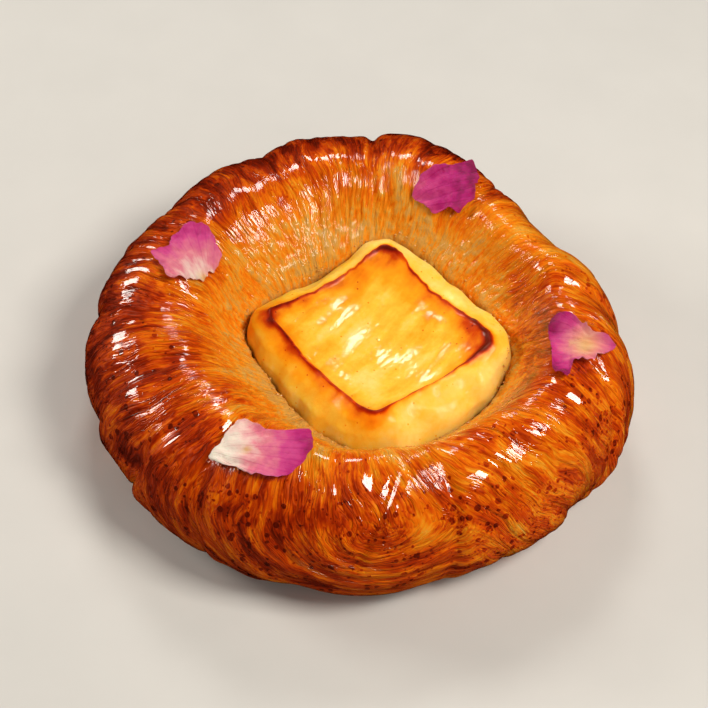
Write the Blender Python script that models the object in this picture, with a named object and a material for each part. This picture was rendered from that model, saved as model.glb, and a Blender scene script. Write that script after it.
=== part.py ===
"""A glazed danish pastry: a ring of laminated dough, a baked custard square in its well and four rose petals on top.

Lengths are metres and +Z is up. The pastry lies on its flat underside at z = 0, and the Z axis runs through the middle
of its footprint. Plan angles are degrees, turning from +X towards +Y.
"""

import math

import bmesh
import bpy
from mathutils import Vector
from mathutils.bvhtree import BVHTree

MM = 0.001
GAP = 0.3 * MM  # air left between two pieces that touch

# The ring of dough.
RING_REACH = 53.6 * MM  # mean distance from the ring's middle to its outer side
RING_BULGES = (  # (plan angle, how far the side stands out there, spread in degrees)
    (34.0, -6.2 * MM, 19.0),
    (80.0, 1.6 * MM, 16.0),
    (143.0, -2.2 * MM, 24.0),
    (262.0, 1.6 * MM, 25.0),
    (334.0, 5.3 * MM, 35.0),
)
CREST_HEIGHT = 30.5 * MM
CREST_SHARE = 0.53  # place of the crest between the well's lip and the outer side
WAIST_HEIGHT = 13.0 * MM  # height at which the ring is widest
FOOT_DEPTH = 15.0 * MM  # how far the side's lower arc would reach below the waist, if the base didn't cut it
LIP_HEIGHT = 15.8 * MM  # mean height where the ring's inner slope meets the custard
LIP_TILT = 3.2 * MM  # how much higher the lip is at the back, and lower at the front
SLOPE_BEND = 0.86  # below 1, the inner slope still falls where it meets the custard
CREST_SQUARENESS = 2.4  # exponent of the superellipse that the crest follows on its inner side
CREST_ALONG = 0.4  # share of the way from the lip to the foot, over the top, where the crest lies
BASE_RING = 0.5  # size of the ring of vertices on the flat underside, as a share of the foot

# The furrows between the lobes, where the dough was wound over itself.
FURROWS = (  # (plan angle at the crest, degrees it leans from the lip to the foot, depth, spread in degrees)
    (5.0, -18.0, 1.9 * MM, 5.0),
    (26.0, -12.0, 1.0 * MM, 4.5),
    (49.0, 8.0, 1.2 * MM, 5.0),
    (85.5, 8.0, 1.8 * MM, 4.5),
    (114.0, 4.0, 1.4 * MM, 4.5),
    (146.0, -10.0, 1.1 * MM, 5.0),
    (178.5, -14.0, 1.9 * MM, 5.0),
    (203.0, -13.0, 1.7 * MM, 4.5),
    (222.5, -25.0, 2.0 * MM, 4.5),
    (233.0, 12.0, 1.2 * MM, 4.0),
    (259.0, -4.0, 1.1 * MM, 4.5),
    (278.0, -40.0, 1.4 * MM, 4.0),
    (292.0, -8.0, 1.3 * MM, 4.5),
    (303.5, 45.0, 1.9 * MM, 4.5),
    (341.0, -40.0, 1.4 * MM, 4.5),
)
FURROW_FADE = 0.6  # exponent that says how soon the furrows run out towards the lip and the foot

# The custard square.
CUSTARD_CENTRE = (6.2 * MM, 0.0 * MM)  # from the ring's middle
CUSTARD_TURN = 38.5  # degrees
CUSTARD_HALF_SIDES = (15.5 * MM, 16.4 * MM)  # at the ridge round its top
CUSTARD_SKEW = 0.03  # share by which the west-east diagonal is longer, and the other one shorter
CUSTARD_FLOOR = 6.0 * MM  # height of the custard's underside
CUSTARD_BELLY = 4.7 * MM  # how far the sides bulge beyond the ridge at the back
CUSTARD_SLUMP = 3.7 * MM  # how much further they bulge at the front
SLUMP_HEADING = 303.0  # plan angle of the front, where the custard has slumped most
RIDGE_HEIGHT = 18.6 * MM  # height of the ridge midway along a side
BASIN_DEPTH = 1.1 * MM  # how far the middle of the top lies below the ridge
ROUND = 2.0  # exponent of a superellipse that is an ellipse
BASIN_ROUND = 2.6  # exponent of the rise from the middle of the top to the ridge
RIDGE_SQUARENESS = 24.0  # exponent of the superellipse that rounds the corners
BELLY_SQUARENESS = 6.5  # the same where the sides bulge most, at the back
SLUMP_SQUARENESS = 2.3  # the same at the front
FLANK = 0.42  # share of the custard's height up to which its sides stand upright
BACK_SHOULDER = (7.5, 0.7)  # exponents that shape the side from there up to the ridge, at the back
FRONT_SHOULDER = (1.5, 0.9)  # the same at the front, where the side is a plain slope
FRONT_HEADING = 262.0  # plan angle at which the side is all front
CORNER_LIFTS = (3.0 * MM, 2.9 * MM, 1.5 * MM, 2.2 * MM)  # north, west, south and east corners
CORNER_TURN = 48.0  # degrees from CUSTARD_TURN to the north corner
CORNER_SPREAD = 19.0  # degrees

# The rose petals. Each outline is a closed smooth curve through points given in millimetres from the petal's middle.
# Stiffness is 0 for a petal that clings to the dough, and 1 for one that spans it like a board.
PETALS = (
    {
        "name": "petal_west",
        "middle": (-32.2 * MM, 12.3 * MM),
        "stiffness": 0.30,
        "outline": (
            (0.8, 7.5), (4.6, 4.5), (6.7, 0.5), (4.6, -3.6), (2.2, -5.6), (-0.5, -7.9),
            (-4.0, -7.2), (-5.2, -3.0), (-7.9, 1.6), (-5.0, 3.2), (-3.2, 5.4),
        ),
    },
    {
        "name": "petal_north",
        "middle": (21.2 * MM, 31.0 * MM),
        "stiffness": 0.55,
        "outline": (
            (4.6, 4.2), (5.6, 1.0), (5.4, -3.8), (1.8, -5.8), (-3.0, -3.8), (-7.8, -0.2),
            (-6.0, 2.5), (0.2, 4.2),
        ),
    },
    {
        "name": "petal_east",
        "middle": (43.6 * MM, -11.2 * MM),
        "stiffness": 0.45,
        "outline": (
            (-3.9, 8.8), (0.0, 7.2), (1.6, 3.6), (5.2, 2.4), (8.2, 1.3), (4.6, -3.4), (0.6, -4.0),
            (-1.4, -8.6), (-3.2, -9.3), (-4.7, -5.8), (-4.4, 1.0),
        ),
    },
    {
        "name": "petal_south",
        "middle": (-17.0 * MM, -34.4 * MM),
        "stiffness": 0.35,
        "outline": (
            (-10.0, -1.8), (-6.6, 1.4), (-4.4, 5.2), (0.4, 3.6), (5.4, 3.2), (9.4, 3.4), (9.8, -1.2),
            (5.6, -6.4), (1.0, -7.1), (-4.6, -4.0), (-8.4, -3.4),
        ),
    },
)
PETAL_THICKNESS = 0.5 * MM
PETAL_GAP = 1.5 * GAP
PETAL_FEEL = 2.0 * MM  # distance either side of its middle over which a petal takes up the slope of the dough

# Mesh density.
ROUND_STEPS = 88
SIDE_STEPS = 15
SLOPE_STEPS = 9
WELL_STEP = 0.25  # height of the ring of vertices in the well's wall, as a share of the custard's height
BELLY_STEPS = 6
TOP_STEPS = 6
PETAL_STEPS = 3  # rings from a petal's middle to its rim
RIM_STEPS = 2  # rim points for each point of a petal's outline

# Finishes: name, colour and roughness.
GOLDEN_CRUST = ("golden_crust", (0.62, 0.24, 0.05), 0.3)
BAKED_CUSTARD = ("baked_custard", (0.90, 0.62, 0.17), 0.3)
ROSE = ("rose", (0.72, 0.18, 0.47), 0.6)
SHARP_ANGLE = 50.0  # degrees past which an edge is shaded sharp


def direction(angle):
    """The unit vector in plan at an angle in radians."""
    return Vector((math.cos(angle), math.sin(angle), 0.0))


def mix(start, end, share):
    """The value or vector that lies a share of the way from start to end."""
    return start + (end - start) * share


def turn_between(angle, centre):
    """The signed turn from centre to angle, in degrees, between -180 and 180."""
    return (angle - centre + 180.0) % 360.0 - 180.0


def material(name, colour, roughness):
    """A plain Principled material, made the first time that it is asked for."""
    made = bpy.data.materials.get(name)
    if made is None:
        made = bpy.data.materials.new(name)
        made.use_nodes = True
        shader = made.node_tree.nodes["Principled BSDF"]
        shader.inputs["Base Color"].default_value = (*colour, 1.0)
        shader.inputs["Roughness"].default_value = roughness
        shader.inputs["Metallic"].default_value = 0.0
    return made


def finish(name, mesh, look):
    """Turns the faces of a bmesh outwards and links it to the scene as a smooth-shaded object with that look."""
    if mesh.calc_volume(signed=True) < 0.0:
        bmesh.ops.reverse_faces(mesh, faces=mesh.faces)
    data = bpy.data.meshes.new(name)
    mesh.to_mesh(data)
    mesh.free()
    data.shade_smooth()
    data.set_sharp_from_angle(angle=math.radians(SHARP_ANGLE))
    data.materials.append(material(*look))
    made = bpy.data.objects.new(name, data)
    bpy.context.scene.collection.objects.link(made)
    return made


def loft(rings, bottom, top):
    """A closed bmesh: a sphere from pole to pole, with each ring of its vertices moved to a ring of points."""
    around = len(rings[0])
    tiers = len(rings) + 1
    mesh = bmesh.new()
    bmesh.ops.create_uvsphere(mesh, u_segments=around, v_segments=tiers, radius=1.0)
    for vertex in mesh.verts:
        x, y, z = vertex.co
        tier = round(math.acos(max(-1.0, min(1.0, -z))) / math.pi * tiers)
        step = round(math.atan2(y, x) / (2.0 * math.pi) * around) % around
        if tier == 0:
            vertex.co = bottom
        elif tier == tiers:
            vertex.co = top
        else:
            vertex.co = rings[tier - 1][step]
    return mesh


def plan_angles():
    """The plan angles of a ring's points, in radians."""
    return [2.0 * math.pi * step / ROUND_STEPS for step in range(ROUND_STEPS)]


# The custard square


def custard_radius(angle, outset, squareness):
    """Distance from the custard's middle to its side at a plan angle, for a skewed superellipse of that squareness."""
    turned = angle - math.radians(CUSTARD_TURN)
    skew = 1.0 - CUSTARD_SKEW * math.sin(2.0 * turned)
    along = abs(math.cos(turned)) / (CUSTARD_HALF_SIDES[0] + outset)
    across = abs(math.sin(turned)) / (CUSTARD_HALF_SIDES[1] + outset)
    return skew * (along**squareness + across**squareness) ** (-1.0 / squareness)


def mix_squareness(first, second, share):
    """A squareness between two others: their reciprocals, which say how round the corners are, are mixed."""
    return 1.0 / mix(1.0 / first, 1.0 / second, share)


def facing(angle, heading):
    """How far a plan angle looks the way of a heading in degrees, from 0 against it to 1 along it."""
    return 0.5 + 0.5 * math.cos(angle - math.radians(heading))


def belly_outset(angle):
    """How far the custard's side stands outside the ridge where it bulges most."""
    return CUSTARD_BELLY + CUSTARD_SLUMP * facing(angle, SLUMP_HEADING)


def belly_squareness(angle):
    """Exponent of the superellipse where the side bulges most: the corners are rounder at the front."""
    return mix_squareness(BELLY_SQUARENESS, SLUMP_SQUARENESS, facing(angle, SLUMP_HEADING))


def belly_share(angle, height_share):
    """How much of the belly's outset the side still has at a height, from 1 on the flank to 0 at the ridge."""
    above = max(0.0, (height_share - FLANK) / (1.0 - FLANK))
    front = facing(angle, FRONT_HEADING)
    bend = mix(BACK_SHOULDER[0], FRONT_SHOULDER[0], front)
    softness = mix(BACK_SHOULDER[1], FRONT_SHOULDER[1], front)
    return (1.0 - above**bend) ** softness


def corner_lift(angle):
    """How far the ridge rises above its mid-side height at a plan angle."""
    lift = 0.0
    for corner, height in enumerate(CORNER_LIFTS):
        place = CUSTARD_TURN + CORNER_TURN + 90.0 * corner
        lift += height * math.exp(-((turn_between(math.degrees(angle), place) / CORNER_SPREAD) ** 2))
    return lift


def custard_ring(height_share, clearance=0.0):
    """Points round the custard's side, from its underside at 0 to the ridge at 1, or a clearance outside it."""
    middle = Vector((*CUSTARD_CENTRE, 0.0))
    points = []
    for angle in plan_angles():
        swell = belly_share(angle, height_share)
        squareness = mix_squareness(RIDGE_SQUARENESS, belly_squareness(angle), swell)
        radius = custard_radius(angle, belly_outset(angle) * swell + clearance, squareness)
        ridge = RIDGE_HEIGHT + corner_lift(angle)
        height = mix(CUSTARD_FLOOR, ridge, height_share)
        points.append(middle + direction(angle) * radius + Vector((0.0, 0.0, height)))
    return points


def custard_top_ring(share):
    """Points of the top, from the ridge at share 1 to the middle of the basin at 0."""
    middle = Vector((*CUSTARD_CENTRE, 0.0))
    basin = RIDGE_HEIGHT - BASIN_DEPTH
    points = []
    for angle in plan_angles():
        squareness = mix_squareness(ROUND, RIDGE_SQUARENESS, share)
        radius = custard_radius(angle, 0.0, squareness) * share
        height = mix(basin, RIDGE_HEIGHT + corner_lift(angle), share**BASIN_ROUND)
        points.append(middle + direction(angle) * radius + Vector((0.0, 0.0, height)))
    return points


def build_custard():
    """The custard: upright bulging sides, a ridge with raised corners and a shallow basin on top."""
    rings = [custard_ring(math.sin(0.5 * math.pi * step / BELLY_STEPS)) for step in range(BELLY_STEPS + 1)]
    rings += [custard_top_ring(1.0 - step / TOP_STEPS) for step in range(1, TOP_STEPS)]
    underside = Vector((*CUSTARD_CENTRE, CUSTARD_FLOOR))
    basin = Vector((*CUSTARD_CENTRE, RIDGE_HEIGHT - BASIN_DEPTH))
    return finish("custard", loft(rings, underside, basin), BAKED_CUSTARD)


# The ring of dough


def ring_reach(angle):
    """Distance from the ring's middle to its outer side at a plan angle."""
    reach = RING_REACH
    for centre, swell, spread in RING_BULGES:
        reach += swell * math.exp(-((turn_between(math.degrees(angle), centre) / spread) ** 2))
    return reach


def furrow_depth(angle, along):
    """How far the furrows cut into the dough at a plan angle. along runs from the lip at 0 to the foot at 1."""
    depth = 0.0
    for crossing, lean, deepest, spread in FURROWS:
        place = crossing + lean * (along - CREST_ALONG)
        depth += deepest * math.exp(-((turn_between(math.degrees(angle), place) / spread) ** 2))
    return depth * math.sin(math.pi * along) ** FURROW_FADE


def lip_point(angle, squareness, outset):
    """A plan point on the outline of the well."""
    middle = Vector((*CUSTARD_CENTRE, 0.0))
    return middle + direction(angle) * custard_radius(angle, outset, squareness)


def crest_point(angle):
    """The plan point of the ring's crest."""
    inner = lip_point(angle, CREST_SQUARENESS, CUSTARD_BELLY)
    outer = direction(angle) * ring_reach(angle)
    return mix(inner, outer, CREST_SHARE)


def side_ring(share):
    """Points of the outer side, from the foot at share 0 to the crest at 1."""
    foot = -math.asin(WAIST_HEIGHT / FOOT_DEPTH)
    arc = mix(foot, 0.5 * math.pi, share)
    points = []
    for angle in plan_angles():
        crest = crest_point(angle)
        outer = direction(angle) * ring_reach(angle)
        depth = furrow_depth(angle, mix(1.0, CREST_ALONG, share))
        rise = CREST_HEIGHT - WAIST_HEIGHT if arc > 0.0 else FOOT_DEPTH
        point = mix(crest, outer, math.cos(arc))
        point.z = WAIST_HEIGHT + rise * math.sin(arc)
        inwards = -direction(angle) * math.cos(arc) - Vector((0.0, 0.0, math.sin(arc)))
        points.append(point + inwards * depth)
    return points


def lip_height(angle):
    """Height at which the ring's inner slope meets the custard at a plan angle."""
    return LIP_HEIGHT + LIP_TILT * math.sin(angle)


def slope_ring(share):
    """Points of the inner slope, from the crest at share 0 to the lip at 1."""
    turn = 0.5 * math.pi * SLOPE_BEND
    fall = (math.sin(turn * share) / math.sin(turn)) ** 2
    points = []
    for angle in plan_angles():
        squareness = mix(CREST_SQUARENESS, belly_squareness(angle), share**2)
        lip = lip_point(angle, squareness, belly_outset(angle) + GAP)
        point = mix(crest_point(angle), lip, share)
        height = mix(CREST_HEIGHT, lip_height(angle), fall)
        height -= furrow_depth(angle, CREST_ALONG * (1.0 - share))
        points.append(Vector((point.x, point.y, height)))
    return points


def build_dough():
    """The ring of dough with its flat underside, and the well that holds the custard."""
    foot = side_ring(0.0)
    floor = Vector((0.0, 0.0, -GAP))
    rings = [[point * BASE_RING for point in foot]]
    rings += [side_ring(step / SIDE_STEPS) for step in range(SIDE_STEPS + 1)]
    rings += [slope_ring(step / SLOPE_STEPS) for step in range(1, SLOPE_STEPS + 1)]
    rings.append(custard_ring(WELL_STEP, clearance=GAP))
    rings.append([point + floor for point in custard_ring(0.0, clearance=GAP)])
    middle = Vector((*CUSTARD_CENTRE, CUSTARD_FLOOR)) + floor
    return finish("dough", loft(rings, Vector(), middle), GOLDEN_CRUST)


# The petals


def smooth_rim(outline):
    """Points along the closed smooth curve through an outline's points."""
    corners = [Vector((x * MM, y * MM, 0.0)) for x, y in outline]
    rim = []
    for index, start in enumerate(corners):
        end = corners[(index + 1) % len(corners)]
        leaving = (end - corners[index - 1]) * 0.5
        arriving = (corners[(index + 2) % len(corners)] - start) * 0.5
        for step in range(RIM_STEPS):
            share = step / RIM_STEPS
            swing = leaving * share * (1.0 - share) ** 2 - arriving * share**2 * (1.0 - share)
            rim.append(mix(start, end, share**2 * (3.0 - 2.0 * share)) + swing)
    return rim


def surface_height(surface, point):
    """Height of the dough's upper surface over a plan point."""
    hit, _, _, _ = surface.ray_cast(Vector((point.x, point.y, 1.0)), Vector((0.0, 0.0, -1.0)))
    return hit.z


def build_petal(surface, name, middle, stiffness, outline):
    """A thin petal on the dough, which partly spans it and partly bends down with it."""
    centre = Vector((*middle, 0.0))
    level = surface_height(surface, centre)
    east = Vector((PETAL_FEEL, 0.0, 0.0))
    north = Vector((0.0, PETAL_FEEL, 0.0))
    rise_east = surface_height(surface, centre + east) - surface_height(surface, centre - east)
    rise_north = surface_height(surface, centre + north) - surface_height(surface, centre - north)
    slope = Vector((rise_east, rise_north, 0.0)) / (2.0 * PETAL_FEEL)

    def lay(offset, lift):
        """The point of the petal over a plan offset from its middle, lifted off its resting place."""
        under = surface_height(surface, centre + offset)
        board = level + slope.dot(offset)
        height = max(under, mix(under, board, stiffness)) + PETAL_GAP + lift
        return centre + offset + Vector((0.0, 0.0, height))

    rim = smooth_rim(outline)
    shares = [step / PETAL_STEPS for step in range(1, PETAL_STEPS + 1)]
    rings = [[lay(point * share, 0.0) for point in rim] for share in shares]
    rings += [[lay(point * share, PETAL_THICKNESS) for point in rim] for share in reversed(shares)]
    body = loft(rings, lay(Vector(), 0.0), lay(Vector(), PETAL_THICKNESS))
    return finish(name, body, ROSE)


def centre_on_axis(pieces, footprint):
    """Moves the pieces so that the Z axis runs through the middle of the footprint's plan."""
    points = [vertex.co for vertex in footprint.data.vertices]
    middle_x = 0.5 * (min(point.x for point in points) + max(point.x for point in points))
    middle_y = 0.5 * (min(point.y for point in points) + max(point.y for point in points))
    for piece in pieces:
        piece.location = Vector((-middle_x, -middle_y, 0.0))


def main():
    """Clears the scene and builds the pastry."""
    for old in list(bpy.data.objects):
        bpy.data.objects.remove(old, do_unlink=True)
    dough = build_dough()
    custard = build_custard()
    surface = BVHTree.FromPolygons(
        [vertex.co for vertex in dough.data.vertices],
        [list(face.vertices) for face in dough.data.polygons],
    )
    petals = [build_petal(surface, **petal) for petal in PETALS]
    centre_on_axis([dough, custard, *petals], dough)


main()
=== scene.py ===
"""Danish pastry: a glazed ring of laminated dough round a block of baked custard, with four rose petals."""

import logging
import math
from dataclasses import dataclass
from enum import Enum

import bmesh
import bpy
import numpy as np
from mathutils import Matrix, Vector
from mathutils.bvhtree import BVHTree


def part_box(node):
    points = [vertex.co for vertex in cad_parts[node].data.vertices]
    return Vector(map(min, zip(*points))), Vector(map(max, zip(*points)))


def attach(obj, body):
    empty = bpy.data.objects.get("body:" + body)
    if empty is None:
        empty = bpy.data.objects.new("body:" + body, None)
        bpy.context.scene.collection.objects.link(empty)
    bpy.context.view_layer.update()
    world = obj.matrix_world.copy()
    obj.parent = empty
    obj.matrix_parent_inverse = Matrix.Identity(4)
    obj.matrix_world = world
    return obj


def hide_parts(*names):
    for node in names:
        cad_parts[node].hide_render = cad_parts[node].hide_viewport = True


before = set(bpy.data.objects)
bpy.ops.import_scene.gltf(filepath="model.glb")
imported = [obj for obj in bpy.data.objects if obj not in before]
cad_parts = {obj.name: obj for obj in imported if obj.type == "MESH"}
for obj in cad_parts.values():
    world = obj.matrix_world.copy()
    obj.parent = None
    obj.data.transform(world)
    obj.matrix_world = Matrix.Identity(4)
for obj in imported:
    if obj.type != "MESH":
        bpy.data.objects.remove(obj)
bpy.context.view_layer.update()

LOG = logging.getLogger("danish_pastry")
MM = 0.001
BODY = "root"
LOFT = 0.1  # metres: a height above every piece
CELLAR = -0.01  # metres: a height below every piece
OUTSIDE = 0.2  # metres: a radius beyond the ring
UP = Vector((0.0, 0.0, 1.0))
DOWN = Vector((0.0, 0.0, -1.0))
DEGREE = math.radians(1.0)
EVEN = (-0.5, 0.5)  # the range of a pattern that darkens as much as it lightens

Socket = bpy.types.NodeSocket


class Slot(str, Enum):
    """Material slot names for the crust, the custard and the petals, which no piece uses."""

    CRUST = "crust"
    CUSTARD = "custard"
    PETALS = "petals"


# ---------------------------------------------------------------- numbers


def smooth_step(low: float, high: float, value: np.ndarray) -> np.ndarray:
    """A soft ramp from 0 to 1.

    Args:
        low: where the ramp starts.
        high: where it ends; it may be below low, and the ramp then falls.
        value: the numbers to look up.

    Returns:
        The ramp's value at each number.
    """
    share = np.clip((value - low) / (high - low), 0.0, 1.0)
    return share * share * (3.0 - 2.0 * share)


def bump_curve(distance: np.ndarray, width: float | np.ndarray) -> np.ndarray:
    """A bell curve that is 1 where the distance is 0 and nearly gone at twice the width."""
    return np.exp(-((distance / width) ** 2))


def turn_between(angle: np.ndarray, other: float | np.ndarray) -> np.ndarray:
    """The signed turn in degrees from one plan angle to another, the short way round."""
    return (angle - other + 180.0) % 360.0 - 180.0


def full_turn(columns: int) -> tuple[np.ndarray, np.ndarray]:
    """Evenly spaced plan angles once round, in degrees and in radians."""
    degrees = np.arange(columns) * 360.0 / columns
    return degrees, np.radians(degrees)


def gradient_noise(points: np.ndarray, seed: int) -> np.ndarray:
    """Smooth random values, about -1 to 1, with one swell per unit.

    Args:
        points: places to read, with three numbers each on the last axis.
        seed: which of the fields to read.

    Returns:
        One value per place.
    """
    source = np.random.default_rng(seed)
    order = source.permutation(256)
    slopes = source.normal(size=(256, 3))
    slopes /= np.linalg.norm(slopes, axis=1, keepdims=True)
    cell = np.floor(points).astype(np.int64)
    local = points - cell
    fade = local**3 * (local * (local * 6.0 - 15.0) + 10.0)
    total = np.zeros(points.shape[:-1])
    for corner in np.ndindex(2, 2, 2):
        step = np.array(corner)
        x, y, z = np.moveaxis((cell + step) & 255, -1, 0)
        slope = slopes[order[(order[(order[x] + y) & 255] + z) & 255]]
        weight = np.prod(np.where(step == 1, fade, 1.0 - fade), axis=-1)
        total += weight * np.sum(slope * (local - step), axis=-1)
    return total * 1.7  # brings the steepest fields up to about 1


def plan_noise(plan: np.ndarray, size: float, seed: int) -> np.ndarray:
    """Gradient noise over (x, y) places, with swells of the size given."""
    return gradient_noise(np.concatenate([plan / size, np.zeros((*plan.shape[:-1], 1))], axis=-1), seed)


def blur(values: np.ndarray, around: float, along: float) -> np.ndarray:
    """Softens a grid of values, whose second axis closes on itself.

    Args:
        values: one row per ring and one column per plan angle.
        around: spread in columns.
        along: spread in rows.

    Returns:
        The softened grid.
    """
    columns = np.fft.fftfreq(values.shape[1])
    soft = np.fft.ifft(np.fft.fft(values, axis=1) * np.exp(-2.0 * (math.pi * columns * around) ** 2), axis=1).real
    if along <= 0.0:
        return soft
    window = int(math.ceil(3.0 * along))
    weights = np.exp(-0.5 * (np.arange(-window, window + 1) / along) ** 2)
    weights /= weights.sum()
    padded = np.pad(soft, ((window, window), (0, 0)), mode="reflect", reflect_type="odd")
    return sum(weight * padded[i : i + len(values)] for i, weight in enumerate(weights))


def blur_row(values: np.ndarray, around: float) -> np.ndarray:
    """Softens one row of values that closes on itself."""
    return blur(values[None, :], around, 0.0)[0]


def round_table(angles: np.ndarray, stops: tuple[tuple[float, float], ...], spread: float = 8.0) -> np.ndarray:
    """Reads a value that changes smoothly round the ring.

    Args:
        angles: evenly spaced plan angles in degrees.
        stops: (plan angle, value) pairs, in order.
        spread: how far a stop's corner is softened, in degrees.

    Returns:
        The value at each plan angle.
    """
    at, value = np.array(stops, dtype=float).T
    return blur_row(np.interp(angles, at, value, period=360.0), spread * len(angles) / 360.0)


# ---------------------------------------------------------------- meshes


def as_piece(name: str, shape: bmesh.types.BMesh) -> bpy.types.Object:
    """Turns a finished shape into a piece of the scene, with its place in its mesh.

    Args:
        name: the piece's name.
        shape: the shape, which is used up.

    Returns:
        The piece.
    """
    mesh = bpy.data.meshes.new(name)
    shape.to_mesh(mesh)
    shape.free()
    piece = bpy.data.objects.new(name, mesh)
    bpy.context.scene.collection.objects.link(piece)
    return piece


class Skin:
    """A closed skin: a sheet rolled into a tube, capped at both ends, and moved onto the rings given."""

    def __init__(self, name: str, rings: np.ndarray, bottom: np.ndarray, top: np.ndarray) -> None:
        """Makes the piece.

        Args:
            name: the piece's name.
            rings: points by ring, from the bottom one up, and by plan angle, counter-clockwise.
            bottom: the lower pole.
            top: the upper pole.
        """
        count, columns = rings.shape[:2]
        shape = bmesh.new()
        bmesh.ops.create_grid(shape, x_segments=columns, y_segments=count - 1, size=1.0)
        sides = {-1: {}, 1: {}}
        for vertex in shape.verts:
            if abs(vertex.co.x) > 1.0 - 0.5 / columns:
                sides[int(math.copysign(1, vertex.co.x))][round(vertex.co.y * count * 2)] = vertex
        bmesh.ops.weld_verts(shape, targetmap={vertex: sides[-1][row] for row, vertex in sides[1].items()})
        rims = [edge for edge in shape.edges if edge.is_boundary]
        caps = bmesh.ops.holes_fill(shape, edges=rims, sides=0)["faces"]
        low_first = sorted(caps, key=lambda cap: cap.verts[0].co.y)
        poles = [bmesh.ops.poke(shape, faces=[cap])["verts"][0] for cap in low_first]
        self.ring = np.zeros(len(shape.verts), int)
        self.column = np.zeros(len(shape.verts), int)
        for index, vertex in enumerate(shape.verts):
            if vertex in poles:
                self.ring[index] = 0 if vertex is poles[0] else count - 1
                vertex.co = bottom if vertex is poles[0] else top
                continue
            self.ring[index] = round((vertex.co.y + 1.0) / 2.0 * (count - 1))
            self.column[index] = round((vertex.co.x + 1.0) / 2.0 * columns)
            vertex.co = rings[self.ring[index], self.column[index]]
        bmesh.ops.recalc_face_normals(shape, faces=shape.faces)
        self.piece = as_piece(name, shape)
        self.piece.data.shade_smooth()

    def paint(self, name: str, grid: np.ndarray) -> None:
        """Writes a grid of numbers or vectors onto the skin's points as a named attribute.

        Args:
            name: the attribute's name.
            grid: one row per ring, with or without a last axis of three.
        """
        vector = grid.ndim == 3
        attribute = self.piece.data.attributes.new(name, "FLOAT_VECTOR" if vector else "FLOAT", "POINT")
        values = grid[self.ring, self.column].astype(np.float32)
        attribute.data.foreach_set("vector" if vector else "value", values.ravel())

    def dress(self, finish: bpy.types.Material, node: str) -> bpy.types.Object:
        """Gives the piece its finish and its place in the frame.

        Args:
            finish: the material.
            node: the frame's node that the piece stands for.

        Returns:
            The piece.
        """
        self.piece.data.materials.append(finish)
        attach(self.piece, BODY)
        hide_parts(node)
        return self.piece


def grid_normals(rings: np.ndarray) -> np.ndarray:
    """The outward direction at each point of a skin's rings.

    Args:
        rings: points by ring and by plan angle.

    Returns:
        One unit vector per point.
    """
    around = np.roll(rings, -1, axis=1) - np.roll(rings, 1, axis=1)
    along = np.gradient(rings, axis=0)
    normal = np.cross(around, along)
    return normal / np.maximum(np.linalg.norm(normal, axis=-1, keepdims=True), 1e-12)


def heading_at(turn: float, rise: float = 0.0) -> Vector:
    """The direction at a plan angle and a rise above the level, both in radians."""
    return Vector((math.cos(turn) * math.cos(rise), math.sin(turn) * math.cos(rise), math.sin(rise)))


def surface_tree(node: bpy.types.Object) -> BVHTree:
    """A search tree over a node's faces."""
    return BVHTree.FromPolygons([v.co for v in node.data.vertices], [p.vertices[:] for p in node.data.polygons])


def reach(tree: BVHTree, start: Vector, heading: Vector) -> float:
    """How far it is from a point to the surface in one direction, or 0 where it misses."""
    return tree.ray_cast(start, heading)[3] or 0.0


def height_below(tree: BVHTree, x: float, y: float, missed: float = 0.0) -> float:
    """The height of a surface seen from above; a miss counts as this distance below the loft."""
    return LOFT - (reach(tree, Vector((x, y, LOFT)), DOWN) or missed)


# ---------------------------------------------------------------- nodes


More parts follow.
